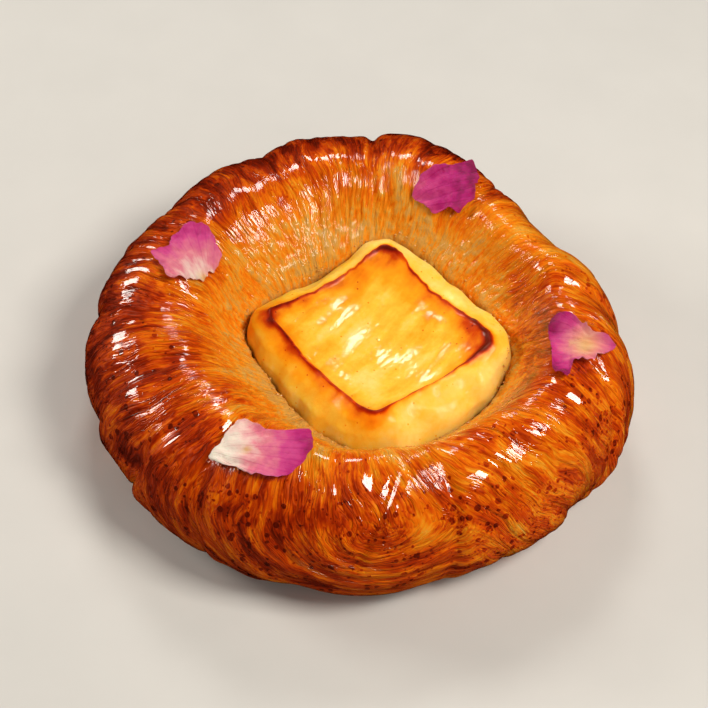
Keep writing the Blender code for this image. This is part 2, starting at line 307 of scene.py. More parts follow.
class Recipe:
    """One material, built a node at a time."""

    def __init__(self, name: str) -> None:
        """Starts a material with a Principled shader.

        Args:
            name: the material's name.
        """
        self.material = bpy.data.materials.new(name)
        self.material.use_nodes = True
        self.tree = self.material.node_tree
        self.shader = self.tree.nodes["Principled BSDF"]

    def add(self, kind: str, settings: dict | None = None, **inputs: object) -> bpy.types.Node:
        """Adds a node.

        Args:
            kind: the node's type name, without ShaderNode in front.
            settings: properties of the node itself.
            inputs: values or sockets for its inputs, named as in the editor with _ for a space.

        Returns:
            The new node.
        """
        node = self.tree.nodes.new("ShaderNode" + kind)
        for key, value in (settings or {}).items():
            setattr(node, key, value)
        for key, value in inputs.items():
            self.feed(node.inputs[key.replace("_", " ")], value)
        return node

    def feed(self, socket: Socket, value: object) -> None:
        """Links a socket, or sets its own value.

        Args:
            socket: the input to fill.
            value: an output to link it to, or a plain value.
        """
        if isinstance(value, Socket):
            self.tree.links.new(value, socket)
        else:
            socket.default_value = value

    def set(self, **inputs: object) -> None:
        """Sets or links the shader's own inputs, named as in the editor with _ for a space."""
        for key, value in inputs.items():
            self.feed(self.shader.inputs[key.replace("_", " ")], value)

    def sum_up(self, operation: str, *values: object, clamp: bool = False) -> Socket:
        """A Math node's result.

        Args:
            operation: the Math node's operation.
            values: its inputs, each a number or a socket.
            clamp: whether the result is kept between 0 and 1.

        Returns:
            The output socket.
        """
        node = self.add("Math", {"operation": operation, "use_clamp": clamp})
        for socket, value in zip(node.inputs, values):
            self.feed(socket, value)
        return node.outputs[0]

    def times(self, first: object, second: object) -> Socket:
        """The product of two numbers or sockets."""
        return self.sum_up("MULTIPLY", first, second)

    def lift(self, level: object, pattern: Socket, amount: float, clamp: bool = False) -> Socket:
        """A level raised by a pattern times an amount, which may be below 0."""
        return self.sum_up("MULTIPLY_ADD", pattern, amount, level, clamp=clamp)

    def spread(self, value: Socket, low: float, high: float, to: tuple[float, float] = (0.0, 1.0)) -> Socket:
        """Maps a range of a value softly onto another range.

        Args:
            value: the socket to read.
            low: the value that gives the first end of the new range.
            high: the value that gives its second end.
            to: the new range.

        Returns:
            The output socket.
        """
        ends = {"From_Min": low, "From_Max": high, "To_Min": to[0], "To_Max": to[1]}
        return self.add("MapRange", {"interpolation_type": "SMOOTHSTEP"}, Value=value, **ends).outputs[0]

    def balanced(self, pattern: Socket) -> Socket:
        """A noise's middle range, spread evenly about 0."""
        return self.spread(pattern, 0.3, 0.7, EVEN)

    def attribute(self, name: str, vector: bool = False) -> Socket:
        """Reads a vertex attribute."""
        return self.add("Attribute", {"attribute_name": name}).outputs["Vector" if vector else "Fac"]

    def place(self, stretch: tuple[float, ...], source: Socket | None = None, turn: float = 0.0) -> Socket:
        """A pattern's own coordinates.

        Args:
            stretch: the scale along each axis.
            source: the coordinates to scale, or None for the object's own.
            turn: degrees that the pattern is turned in plan before it is scaled.

        Returns:
            The output socket.
        """
        source = source or self.add("TexCoord").outputs["Object"]
        if turn:
            source = self.add("Mapping", Vector=source, Rotation=(0.0, 0.0, math.radians(-turn))).outputs[0]
        return self.add("Mapping", Vector=source, Scale=stretch).outputs[0]

    def noise(self, scale: float, detail: float, at: Socket | None = None, **inputs: float) -> Socket:
        """Soft noise.

        Args:
            scale: swells per unit of the coordinates.
            detail: octaves of finer swells.
            at: the coordinates, or None for the object's own.
            inputs: values for the node's other inputs.

        Returns:
            The output socket.
        """
        at = at or self.place((1.0,) * 3)
        return self.add("TexNoise", Vector=at, Scale=scale, Detail=detail, **inputs).outputs[0]

    def cells(self, at: Socket) -> tuple[Socket, Socket, Socket]:
        """Scattered points, one per unit: the distance to the nearest, and two random numbers of its own."""
        node = self.add("TexVoronoi", Vector=at, Scale=1.0)
        return node.outputs["Distance"], *self.add("SeparateColor", Color=node.outputs["Color"]).outputs[:2]

    def ramp(self, value: Socket, stops: tuple) -> Socket:
        """Looks a value up in a run of colours.

        Args:
            value: the socket to read.
            stops: (position, (red, green, blue)) pairs, in order.

        Returns:
            The colour socket.
        """
        node = self.add("ValToRGB", Fac=value)
        stripe = node.color_ramp
        while len(stripe.elements) < len(stops):
            stripe.elements.new(0.5)
        for element, (position, colour) in zip(stripe.elements, stops):
            element.position = position
            element.color = (*colour, 1.0)
        return node.outputs["Color"]

    def blend(self, share: Socket, first: object, second: object, colour: bool = False) -> Socket:
        """Mixes two numbers or two colours.

        Args:
            share: how much of the second, from 0 to 1.
            first: the first number, colour or socket.
            second: the second one.
            colour: whether they are colours.

        Returns:
            The output socket.
        """
        node = self.add("Mix", {"data_type": "RGBA" if colour else "FLOAT"})
        for name, value in (("Factor", share), ("A", first), ("B", second)):
            value = (*value, 1.0) if isinstance(value, tuple) else value
            self.feed(next(s for s in node.inputs if s.name == name and s.enabled), value)
        return next(s for s in node.outputs if s.enabled)

    def bump(self, height: Socket, distance: float, under: Socket | None = None) -> Socket:
        """A Bump node's normal.

        Args:
            height: the height socket, from 0 to 1.
            distance: how high 1 stands, in metres.
            under: a normal that it is added to.

        Returns:
            The normal socket.
        """
        below = {} if under is None else {"Normal": under}
        return self.add("Bump", Height=height, Distance=distance, Strength=1.0, **below).outputs[0]


@dataclass(frozen=True)
class CrustFinish:
    """Glazed crust: golden in the hollow, red-brown on the crest, in thin broken layers, with dark blisters.

    Streaks are given by their width and length in millimetres and their octaves, and reliefs by the depth of the
    layers' edges, the fibres and the grain in millimetres.
    """

    name: str = "glazed_crust"
    bakes: tuple = (
        (0.00, (0.66, 0.34, 0.070)),
        (0.09, (0.78, 0.33, 0.032)),
        (0.20, (0.86, 0.27, 0.009)),
        (0.38, (0.80, 0.155, 0.002)),
        (0.58, (0.60, 0.058, 0.001)),
        (0.78, (0.34, 0.018, 0.0005)),
        (1.00, (0.12, 0.005, 0.0005)),
    )
    damp: float = 0.2
    dry: float = 0.42
    layer_count: float = 15.0
    layers: tuple[float, float, float] = (2.4, 14.0, 2.5)
    fibres: tuple[float, float, float] = (0.45, 6.5, 3.0)
    cords: tuple[float, float, float] = (1.2, 9.0, 1.5)
    stains: tuple[float, float, float] = (3.0, 7.0, 4.0)
    blister_spacing: float = 1.7 * MM
    speck_spacing: float = 0.8 * MM
    crust_relief: tuple[float, float, float] = (0.14, 0.16, 0.34)
    glaze_relief: tuple[float, float, float] = (0.05, 0.05, 0.10)

    def streaks(self, recipe: Recipe, wide: float, long: float, detail: float) -> Socket:
        """Noise drawn out along the strands of the dough.

        Args:
            recipe: the material in hand.
            wide: width of a streak in millimetres.
            long: its length in millimetres.
            detail: octaves of finer streaks.

        Returns:
            The noise, mixed between the ring's own flow and the swirl's.
        """
        around = recipe.place((1.0 / wide, 1.0 / wide, 1.0 / long), recipe.attribute("flow_ring", True))
        swirl = recipe.place((1.0 / wide, 1.0 / long, 1.0), recipe.attribute("flow_swirl", True))
        both = [recipe.noise(1.0, detail, at, Roughness=0.6) for at in (around, swirl)]
        return recipe.blend(recipe.attribute("swirl"), *both)

    def blisters(self, recipe: Recipe, spacing: float, share: Socket) -> Socket:
        """Dark spots of uneven size and outline.

        Args:
            recipe: the material in hand.
            spacing: spacing of the spots, in metres.
            share: how many of the cells hold a spot, from 0 to 1.

        Returns:
            A mask that is 1 inside a spot.
        """
        at = recipe.place((1.0 / spacing,) * 3)
        far, lucky, sized = recipe.cells(at)
        far = recipe.lift(recipe.lift(far, recipe.noise(2.5, 1.0, at), 0.18), sized, 0.26)
        return recipe.times(recipe.spread(far, 0.58, 0.49), recipe.sum_up("LESS_THAN", lucky, share))

    def make(self) -> bpy.types.Material:
        """Builds the material.

        Returns:
            The finished material.
        """
        recipe = Recipe(self.name)
        bake = recipe.attribute("bake")
        wetness = recipe.spread(bake, self.dry, self.damp)

        # Layers are the steps of one noise, each with its own tone and a raised edge.
        stacked = recipe.times(self.streaks(recipe, *self.layers), self.layer_count)
        height = recipe.sum_up("FRACT", stacked)
        layer = recipe.add("TexWhiteNoise", {"noise_dimensions": "1D"}, W=recipe.sum_up("FLOOR", stacked)).outputs[0]
        edge = recipe.times(recipe.spread(height, 0.0, 0.22), recipe.spread(height, 1.0, 0.22))
        sheets = recipe.times(recipe.sum_up("SUBTRACT", layer, 0.5), recipe.spread(bake, 0.15, 0.35))

        fibres = self.streaks(recipe, *self.fibres)
        cords = self.streaks(recipe, *self.cords)
        stain = recipe.spread(self.streaks(recipe, *self.stains), 0.44, 0.56, EVEN)
        cloud = recipe.noise(150.0, 3.0)
        dense = recipe.times(recipe.spread(cloud, 0.35, 0.6), recipe.attribute("speckle"))
        spots = self.blisters(recipe, self.blister_spacing, recipe.times(dense, 0.65))
        specks = self.blisters(recipe, self.speck_spacing, recipe.times(dense, 0.5))
        threads = recipe.times(recipe.balanced(fibres), recipe.spread(bake, self.damp, self.dry, (0.12, 1.0)))

        # Each pattern darkens the crust by its amount, and a negative amount lightens it.
        level = bake
        for pattern, amount in (
            (sheets, 0.14),
            (threads, 0.24),
            # The cords' grooves are darker and their tops lighter on the damp slope: painted shade in the grooves and
            # painted light on the tops.
            (recipe.times(recipe.spread(cords, 0.35, 0.6, (0.5, -0.5)), wetness), 0.12),
            (recipe.times(stain, recipe.spread(bake, 0.20, 0.45)), 0.24),
            (recipe.balanced(cloud), 0.18),
            # Darker grooves and lighter ridges: partly glaze pooled in the grooves, partly painted shade and painted
            # light.
            (recipe.attribute("glaze_and_shade"), -0.16),
        ):
            level = recipe.lift(level, pattern, amount)
        level = recipe.lift(recipe.sum_up("SUBTRACT", level, 0.10), edge, 0.12)
        level = recipe.lift(recipe.lift(level, spots, 0.32), specks, 0.24, clamp=True)

        # The glaze lies smoother than the crust under it, and smoothest where it is drawn taut.
        grit = recipe.times(recipe.noise(900.0, 2.0), recipe.spread(bake, self.dry, 0.15, (0.03, 1.0)))
        stringy = recipe.spread(bake, 0.15, self.dry, (0.35, 1.0))
        slack = recipe.times(recipe.spread(recipe.attribute("taut"), 0.0, 1.0, (1.0, 0.12)), stringy)
        strings = recipe.times(cords, wetness)
        normals = []
        for (ridge, fibre, grain), calm in ((self.crust_relief, stringy), (self.glaze_relief, slack)):
            rough = recipe.bump(recipe.times(edge, calm), ridge * MM)
            rough = recipe.bump(strings, 4.0 * ridge * MM, rough)
            rough = recipe.bump(recipe.times(fibres, calm), fibre * MM, rough)
            rough = recipe.bump(grit, grain * MM, rough)
            normals.append(recipe.bump(spots, 0.5 * ridge * MM, rough))
        recipe.set(Base_Color=recipe.ramp(level, self.bakes), Normal=normals[0], Coat_Normal=normals[1])
        recipe.set(Roughness=recipe.spread(fibres, 0.2, 0.8, (0.36, 0.5)))
        recipe.set(Specular_IOR_Level=0.15, Specular_Tint=(1.0, 0.55, 0.2, 1.0))
        recipe.set(Coat_Weight=recipe.spread(bake, self.damp, self.dry, (0.32, 1.0)))
        recipe.set(Coat_Roughness=0.025, Coat_IOR=1.55)
        recipe.set(Subsurface_Weight=0.12, Subsurface_Radius=(1.0, 0.35, 0.08), Subsurface_Scale=1.2 * MM)
        return recipe.material


@dataclass(frozen=True)
class CustardFinish:
    """Baked custard: cream inside, golden where it browned, and burnt dark along the ridge."""

    name: str = "baked_custard"
    toasts: tuple = (
        (0.00, (0.96, 0.69, 0.180)),
        (0.14, (0.96, 0.56, 0.048)),
        (0.30, (0.94, 0.38, 0.008)),
        (0.46, (0.88, 0.24, 0.003)),
        (0.62, (0.62, 0.060, 0.001)),
        (0.80, (0.36, 0.012, 0.0005)),
        (1.00, (0.12, 0.003, 0.0003)),
    )
    strokes: tuple[float, float, float] = (75.0, 300.0, 120.0)
    stroke_turn: float = 52.0
    dot_spacing: float = 1.1 * MM

    def make(self) -> bpy.types.Material:
        """Builds the material.

        Returns:
            The finished material.
        """
        recipe = Recipe(self.name)
        toast = recipe.attribute("toast")
        top = recipe.attribute("top")
        wash = recipe.noise(1.0, 4.0, recipe.place(self.strokes, turn=self.stroke_turn))
        grain = recipe.noise(900.0, 3.0)
        far, lucky, _ = recipe.cells(recipe.place((1.0 / self.dot_spacing,) * 3))
        dots = recipe.times(recipe.spread(far, 0.24, 0.12), recipe.sum_up("LESS_THAN", lucky, 0.12))
        washed = recipe.times(recipe.balanced(wash), recipe.spread(top, 0.0, 1.0, (0.45, 1.0)))
        level = recipe.lift(toast, washed, 0.18)
        level = recipe.lift(level, recipe.balanced(recipe.noise(160.0, 4.0)), 0.08)
        level = recipe.lift(level, recipe.balanced(grain), 0.05)
        level = recipe.lift(level, dots, 0.26, clamp=True)
        swept = recipe.times(wash, recipe.spread(top, 0.0, 1.0, (0.35, 1.0)))
        film = recipe.lift(swept, grain, 0.16)
        wet = recipe.times(recipe.spread(top, 0.0, 1.0, (0.12, 1.0)), recipe.spread(toast, 0.35, 0.75, (1.0, 0.45)))
        recipe.set(Base_Color=recipe.ramp(level, self.toasts))
        recipe.set(Normal=recipe.bump(film, 0.6 * MM), Coat_Normal=recipe.bump(film, 0.4 * MM))
        recipe.set(Roughness=0.45, Coat_Weight=wet, Coat_Roughness=0.035)
        recipe.set(Specular_IOR_Level=0.15, Specular_Tint=(1.0, 0.8, 0.5, 1.0))
        recipe.set(Subsurface_Weight=0.5, Subsurface_Radius=(1.0, 0.5, 0.15), Subsurface_Scale=2.5 * MM)
        return recipe.material


@dataclass(frozen=True)
class PetalFinish:
    """Rose petal: white and cream at the base, through pink to magenta at the tip, with fine veins.

    Veins are given by how many lie across the petal's fan, and by their share of the gap between them.
    """

    name: str = "rose_petal"
    blush: tuple = (
        (0.00, (0.93, 0.75, 0.63)),
        (0.20, (0.90, 0.57, 0.50)),
        (0.42, (0.76, 0.20, 0.26)),
        (0.66, (0.59, 0.052, 0.22)),
        (0.84, (0.42, 0.010, 0.15)),
        (1.00, (0.20, 0.003, 0.06)),
    )
    heart: tuple[float, float, float] = (0.75, 0.36, 0.10)
    main_veins: tuple[float, float] = (8.0, 0.08)
    side_veins: tuple[float, float] = (19.0, 0.12)

    def veins(self, recipe: Recipe, fan: Socket, count: float, width: float) -> Socket:
        """Wavering lines that run out from the petal's base.

        Args:
            recipe: the material in hand.
            fan: the petal's own coordinates, across and outwards.
            count: how many lines lie across the fan.
            width: a line's share of the gap.

        Returns:
            A mask that is 1 on a line.
        """
        at = recipe.place((count, 0.6, 1.0), fan)
        wave = recipe.add("TexWave", Vector=at, Scale=0.31, Distortion=2.2, Detail=2.0, Detail_Scale=0.7)
        return recipe.spread(wave.outputs["Fac"], width, 0.0)

    def make(self) -> bpy.types.Material:
        """Builds the material.

        Returns:
            The finished material.
        """
        recipe = Recipe(self.name)
        fan = recipe.attribute("fan", True)
        faint = recipe.times(self.veins(recipe, fan, *self.side_veins), 0.5)
        line = recipe.sum_up("MAXIMUM", self.veins(recipe, fan, *self.main_veins), faint)
        bands = recipe.noise(1.0, 2.0, recipe.place((5.0, 1.4, 1.0), fan))
        level = recipe.lift(recipe.attribute("blush"), recipe.balanced(bands), 0.16)
        level = recipe.lift(level, line, 0.045, clamp=True)
        height = recipe.lift(recipe.noise(700.0, 4.0), line, -0.12)
        heart = recipe.times(recipe.attribute("heart"), 0.85)
        colour = recipe.blend(heart, recipe.ramp(level, self.blush), self.heart, colour=True)
        recipe.set(Base_Color=colour, Normal=recipe.bump(height, 0.30 * MM))
        recipe.set(Roughness=0.55, Specular_IOR_Level=0.2, Sheen_Weight=0.05)
        recipe.set(Subsurface_Weight=0.35, Subsurface_Radius=(1.0, 0.4, 0.5), Subsurface_Scale=0.8 * MM)
        return recipe.material


@dataclass(frozen=True)
class CrumbFinish:
    """Dry crumbs of the baked layers, pale gold."""

    name: str = "baked_crumb"
    tones: tuple = ((0.3, (0.50, 0.20, 0.02)), (0.7, (0.80, 0.42, 0.10)))

    def make(self) -> bpy.types.Material:
        """Builds the material.

        Returns:
            The finished material.
        """
        recipe = Recipe(self.name)
        tone = recipe.noise(400.0, 2.0)
        recipe.set(Base_Color=recipe.ramp(tone, self.tones), Normal=recipe.bump(tone, 0.2 * MM))
        recipe.set(Roughness=0.45, Coat_Weight=0.3, Coat_Roughness=0.15)
        return recipe.material


# ---------------------------------------------------------------- pieces


@dataclass(frozen=True)
class SeenSide:
    """The ring's seen surface: its points by ring and plan angle, from the foot over the crest down to the well.

    The plan angles are in degrees, one per column. Along is the share of the way from lip to foot, a column of one
    per ring.
    """

    points: np.ndarray
    degrees: np.ndarray
    along: np.ndarray


@dataclass(frozen=True)
class Crease:
    """An edge where one strip of dough folds over the next.

    Its angle is where it crosses the crest and its lean how far it turns from lip to foot, in degrees. It starts and
    ends at shares of that way, and its depth and width are in millimetres.
    """

    angle: float
    lean: float
    start: float
    end: float
    depth: float
    width: float = 0.9
    fading: float = 0.06

    def notch(self, seen: SeenSide, crest: float, radius: float) -> np.ndarray:
        """How deep the crease cuts, with a slight swell beside it.

        Args:
            seen: the seen side.
            crest: the crest's share of the way along.
            radius: the ring's radius in millimetres.

        Returns:
            A grid of depths in metres, below 0 on the swell.
        """
        gap = turn_between(seen.degrees, self.angle + self.lean * (seen.along - crest)) * DEGREE * radius * MM
        fade = smooth_step(self.start - self.fading, self.start + self.fading, seen.along)
        fade = fade * smooth_step(self.end + self.fading, self.end - self.fading, seen.along)
        width = self.width * MM
        cut = bump_curve(gap, width) - 0.6 * bump_curve(gap - 2.0 * width, 1.6 * width)
        return self.depth * MM * cut * fade


@dataclass(frozen=True)
class Strands:
    """Coordinates in millimetres that follow the strands: round the ring, and round the swirl on its front."""

    ring: np.ndarray
    swirl: np.ndarray
    swirl_share: np.ndarray

    def folds(self, wide: float, long: float, seed: int) -> np.ndarray:
        """Sharp grooves and round ridges along the strands.

        Args:
            wide: width of a strand in millimetres.
            long: its length in millimetres.
            seed: which of the fields to read; the swirl reads another one.

        Returns:
            A grid from -0.5 in the grooves to 0.5 on the ridges.
        """
        ring = np.abs(gradient_noise(self.ring / np.array([wide, wide, long]), 11 + seed))
        swirl = np.abs(gradient_noise(self.swirl / np.array([wide, long, 1.0]), 31 + seed))
        mixed = ring + (swirl - ring) * self.swirl_share
        return np.minimum(mixed / 0.55, 1.0) - 0.5


@dataclass
class DoughRing:
    """The ring: its skin follows the solid, and strands, folds and blisters are laid over that.

    Angles are in degrees, and tables that go round the ring start at the east. The flow, the swirl and the ridges'
    width, length and height are in millimetres. Drifts are given by their swells' size, their amount and their field.
    """

    columns: int = 860
    seen_rows: int = 100
    under_rows: int = 8
    core_height: float = 13.0 * MM
    section: tuple[float, float, int] = (-90.0, 180.0, 136)
    coarse_step: int = 12
    crest_along: float = 0.4
    leans: tuple = (
        (0.0, -25.0), (30.0, -25.0), (60.0, -5.0), (90.0, 5.0), (120.0, 5.0), (150.0, -8.0), (180.0, -22.0),
        (205.0, -18.0), (222.0, -28.0), (240.0, 0.0), (300.0, 52.0), (318.0, 48.0), (345.0, -40.0),
    )
    bakes: tuple = (  # browning every 30 degrees, then the shares of the way from lip to foot along which it holds
        (
            (0.70, 0.20, 0.26, 0.34, 0.28, 0.32, 0.38, 0.42, 0.34, 0.26, 0.46, 0.64),
            ((0.0, 0.15), (0.08, 0.42), (0.22, 1.0), (0.33, 0.0)),
        ),
        (
            (0.58, 0.08, 0.60, 0.52, 0.58, 0.64, 0.62, 0.50, 0.40, 0.34, 0.44, 0.58),
            ((0.22, 0.0), (0.33, 1.0), (0.43, 0.0)),
        ),
        (
            (0.50, 0.20, 0.94, 0.74, 0.78, 0.76, 0.80, 0.72, 0.70, 0.60, 0.40, 0.54),
            ((0.33, 0.0), (0.43, 1.0), (0.62, 1.0), (0.85, 0.0)),
        ),
        (
            (0.55, 0.40, 0.72, 0.66, 0.72, 0.62, 0.50, 0.60, 0.70, 0.74, 0.60, 0.48),
            ((0.62, 0.0), (0.85, 1.0), (1.0, 0.8)),
        ),
    )
    speckles: tuple = ((0.0, 0.8), (60.0, 0.4), (120.0, 0.3), (180.0, 0.4), (225.0, 0.6), (260.0, 0.9), (310.0, 1.0))
    speckles_along: tuple = ((0.0, 0.0), (0.28, 0.03), (0.45, 0.6), (0.6, 1.0), (0.85, 1.0), (1.0, 0.6))
    flow_radius: float = 39.0
    flow_length: float = 62.0
    drifts: tuple = ((14.0, 1.0, 2), (6.0, 0.35, 4), (2.6, 0.07, 7))
    ring_drift: float = 2.6
    swirl_drift: float = 1.6
    eye_angle: float = 276.0
    eye_along: float = 0.50
    eye_flattening: float = 1.5
    eye_radius: float = 6.0
    swirl_from: tuple[float, float] = (-62.0, -50.0)
    swirl_to: tuple[float, float] = (24.0, 14.0)
    swirl_top: tuple[float, float] = (-3.0, 4.0)
    swirl_slice: float = 7.3
    ridges: tuple = ((6.0, 20.0, 0.45), (2.8, 13.0, 0.20), (1.3, 8.0, 0.10), (0.75, 5.0, 0.05))
    fine_ridge: float = 2.0
    lump_height: float = 0.55
    swell_height: float = 0.35 * MM
    creases: tuple[Crease, ...] = (
        Crease(5.0, -18.0, 0.30, 1.0, 0.45),
        Crease(49.0, 8.0, 0.30, 0.9, 0.35, 0.8),
        Crease(85.5, 8.0, 0.10, 0.9, 0.55, 0.8),
        Crease(114.0, 4.0, 0.15, 0.9, 0.40, 0.8),
        Crease(146.0, -10.0, 0.30, 1.0, 0.40),
        Crease(178.5, -14.0, 0.10, 1.0, 0.60),
        Crease(203.0, -13.0, 0.35, 1.0, 0.55),
        Crease(222.5, -25.0, 0.25, 0.9, 0.80, 1.0),
        Crease(233.0, 12.0, 0.30, 0.8, 0.45),
        Crease(278.0, -40.0, 0.36, 0.62, 0.70),
        Crease(292.0, -8.0, 0.35, 0.8, 0.45),
        Crease(303.5, 45.0, 0.25, 0.8, 0.60),
        Crease(341.0, -40.0, 0.35, 1.0, 0.60),
    )
    wall_shares: tuple[float, ...] = (0.35, 0.75, 0.98)
    floor_shares: tuple[float, ...] = (0.95, 0.6, 0.3)

    def distances(self, tree: BVHTree, rays: list[tuple[np.ndarray, np.ndarray]], turns: np.ndarray) -> np.ndarray:
        """How far the surface is from the core circle.

        Args:
            tree: search tree of the dough solid.
            rays: points of the core circle, each with its outward direction.
            turns: angles in the ring's cross-section, 0 outward and 90 degrees up, in radians.

        Returns:
            One row per turn and one column per point.
        """
        rows = []
        for turn in turns:
            rise = np.array([0.0, 0.0, math.sin(turn)])
            rows.append([reach(tree, Vector(at), Vector(out * math.cos(turn) + rise)) for at, out in rays])
        return np.array(rows)

    def cast_rows(self, tree: BVHTree, degrees: np.ndarray, angles: np.ndarray) -> SeenSide:
        """Finds the solid's seen surface, in rings that lie evenly over its mean cross-section.

        Args:
            tree: search tree of the dough solid.
            degrees: plan angles in degrees.
            angles: the same in radians.

        Returns:
            The seen side.
        """
        heading = np.stack([np.cos(angles), np.sin(angles), np.zeros_like(angles)], axis=1)
        centre = Vector((0.0, 0.0, self.core_height))
        inner = np.array([reach(tree, centre, Vector(out)) for out in heading])
        outer = np.array([OUTSIDE - reach(tree, centre + OUTSIDE * Vector(out), -Vector(out)) for out in heading])
        middle = blur_row((inner + outer) / 2.0, self.columns / 60.0)
        core = heading * middle[:, None] + np.array([0.0, 0.0, self.core_height])
        rays = list(zip(core, heading))
        turns = np.radians(np.linspace(*self.section))
        profile = self.distances(tree, rays[:: self.coarse_step], turns).mean(axis=1)
        points = np.stack([profile * np.cos(turns), profile * np.sin(turns)], axis=1)
        length = np.concatenate([[0.0], np.cumsum(np.linalg.norm(np.diff(points, axis=0), axis=1))])
        wanted = np.linspace(0.0, length[-1], self.seen_rows)
        turns = np.interp(wanted, length, turns)
        table = blur(self.distances(tree, rays, turns), 2.0 * self.columns / 360.0, 1.6)
        out = heading * (table * np.cos(turns)[:, None])[:, :, None]
        up = (table * np.sin(turns)[:, None])[:, :, None] * np.array([0.0, 0.0, 1.0])
        return SeenSide(core + out + up, degrees, (1.0 - wanted / length[-1])[:, None])

    def under_rings(self, tree: BVHTree, edge: np.ndarray) -> np.ndarray:
        """The rings on the underside.

        Args:
            tree: search tree of the dough solid.
            edge: the first seen ring, at the foot.

        Returns:
            The rings, from near the middle outwards.
        """
        rings = []
        for share in np.linspace(0.0, 1.0, self.under_rows + 1)[1:-1] ** 0.6:
            ring = edge * share
            for point in ring:
                point[2] = CELLAR + reach(tree, Vector((point[0], point[1], CELLAR)), UP)
            rings.append(ring)
        return np.array(rings)

    def well_rings(self, tree: BVHTree, angles: np.ndarray, edge: np.ndarray, floor: float) -> np.ndarray:
        """The rings of the well's wall and floor, under the custard.

        Args:
            tree: search tree of the dough solid.
            angles: plan angles in radians.
            edge: the last seen ring, at the lip.
            floor: height of the well's floor.

        Returns:
            The rings, from the lip down and inwards.
        """
        rings = []
        mean = float(edge[:, 2].mean())
        for share in self.wall_shares:
            height = mean + (floor - mean) * share
            start = Vector((0.0, 0.0, height))
            span = blur_row(np.array([reach(tree, start, heading_at(angle)) for angle in angles]), 4.0)
            rings.append(np.stack([span * np.cos(angles), span * np.sin(angles), np.full_like(span, height)], axis=1))
        foot = rings[-1]
        for share in self.floor_shares:
            ring = foot * share
            ring[:, 2] = floor
            rings.append(ring)
        return np.array(rings)

    def lay_strands(self, seen: SeenSide) -> Strands:
        """Lays out the strands, which lean as they run over the ring and wind round the swirl's eye.

        Args:
            seen: the seen side.

        Returns:
            The strands' coordinates.
        """
        drift = sum(amount * gradient_noise(seen.points / (size * MM), seed) for size, amount, seed in self.drifts)
        lean = round_table(seen.degrees, self.leans) * (seen.along - self.crest_along)
        turned = np.radians(seen.degrees - lean + self.ring_drift * drift)
        down = np.broadcast_to(seen.along * self.flow_length, turned.shape)
        ring = np.stack([self.flow_radius * np.cos(turned), self.flow_radius * np.sin(turned), down], axis=-1)
        past_eye = turn_between(seen.degrees, self.eye_angle)
        side = np.broadcast_to(past_eye * DEGREE * self.flow_radius, turned.shape)
        below = (seen.along - self.eye_along) * self.flow_length * np.ones_like(turned)
        low = np.maximum(below, 0.0) * self.eye_flattening
        swing = np.hypot(side, low) + self.swirl_drift * drift
        swept = np.arctan2(low, side) * np.maximum(swing, self.eye_radius) + np.minimum(below, 0.0)
        swirl = np.stack([swing, swept, np.full_like(swing, self.swirl_slice)], axis=-1)
        window = smooth_step(*self.swirl_from, past_eye) * smooth_step(*self.swirl_to, past_eye)
        return Strands(ring, swirl, window * smooth_step(*self.swirl_top, below))

    def raise_strands(self, seen: SeenSide, strands: Strands, taut: np.ndarray) -> tuple[np.ndarray, np.ndarray]:
        """Works out how far the strands and the hollow's lumps stand up.

        Args:
            seen: the seen side.
            strands: the strands' coordinates.
            taut: where the glaze is drawn taut, from 0 to 1.

        Returns:
            The height in metres, and the same relief without units, which darkens the grooves and lightens the ridges
            in the colour: partly darker glaze pooled in the grooves, partly painted shade in them and painted light on
            the ridges.
        """
        # The relief also goes into the colour: the grooves darker, partly pooled glaze and partly painted shade, and
        # the ridges lighter, painted light.
        glaze_and_shade = np.zeros_like(taut)
        raised = np.zeros_like(taut)
        for seed, (wide, long, height) in enumerate(self.ridges):
            height = height * MM * (1.0 - 0.85 * taut if wide < self.fine_ridge else 1.0)
            fold = strands.folds(wide, long, seed) * height
            raised += fold
            glaze_and_shade += fold / (0.5 * MM)
        quiet = smooth_step(0.05, 0.30, seen.along) * smooth_step(1.0, 0.9, seen.along)
        lumps = np.abs(gradient_noise(seen.points / (1.9 * MM), 51))
        lumps = lumps + 0.5 * np.abs(gradient_noise(seen.points / (0.9 * MM), 52))
        raised = raised * (0.5 + 0.5 * quiet) + lumps * self.lump_height * MM * smooth_step(0.30, 0.12, seen.along)
        # In the hollow the gaps between the lumps are darker in the colour: painted shade.
        glaze_and_shade = glaze_and_shade * (0.25 + 0.75 * quiet) + (lumps - 0.4) * 2.0 * smooth_step(0.32, 0.14, seen.along)
        return raised, glaze_and_shade

    def browning(self, seen: SeenSide) -> np.ndarray:
        """How far each spot is baked: pale in the hollow, darkest on the crest, golden on the side.

        Args:
            seen: the seen side.

        Returns:
            A grid from 0, pale, to 1, nearly burnt.
        """
        grid = np.zeros(seen.points.shape[:2])
        for values, stops in self.bakes:
            around = round_table(seen.degrees, tuple(zip(range(0, 360, 30), values)), 9.0)
            grid += np.interp(seen.along, *zip(*stops)) * around
        return grid

    def speckling(self, seen: SeenSide) -> np.ndarray:
        """How thickly each spot is set with blisters: most on the outer side, none in the hollow."""
        return round_table(seen.degrees, self.speckles, 10.0) * np.interp(seen.along, *zip(*self.speckles_along))

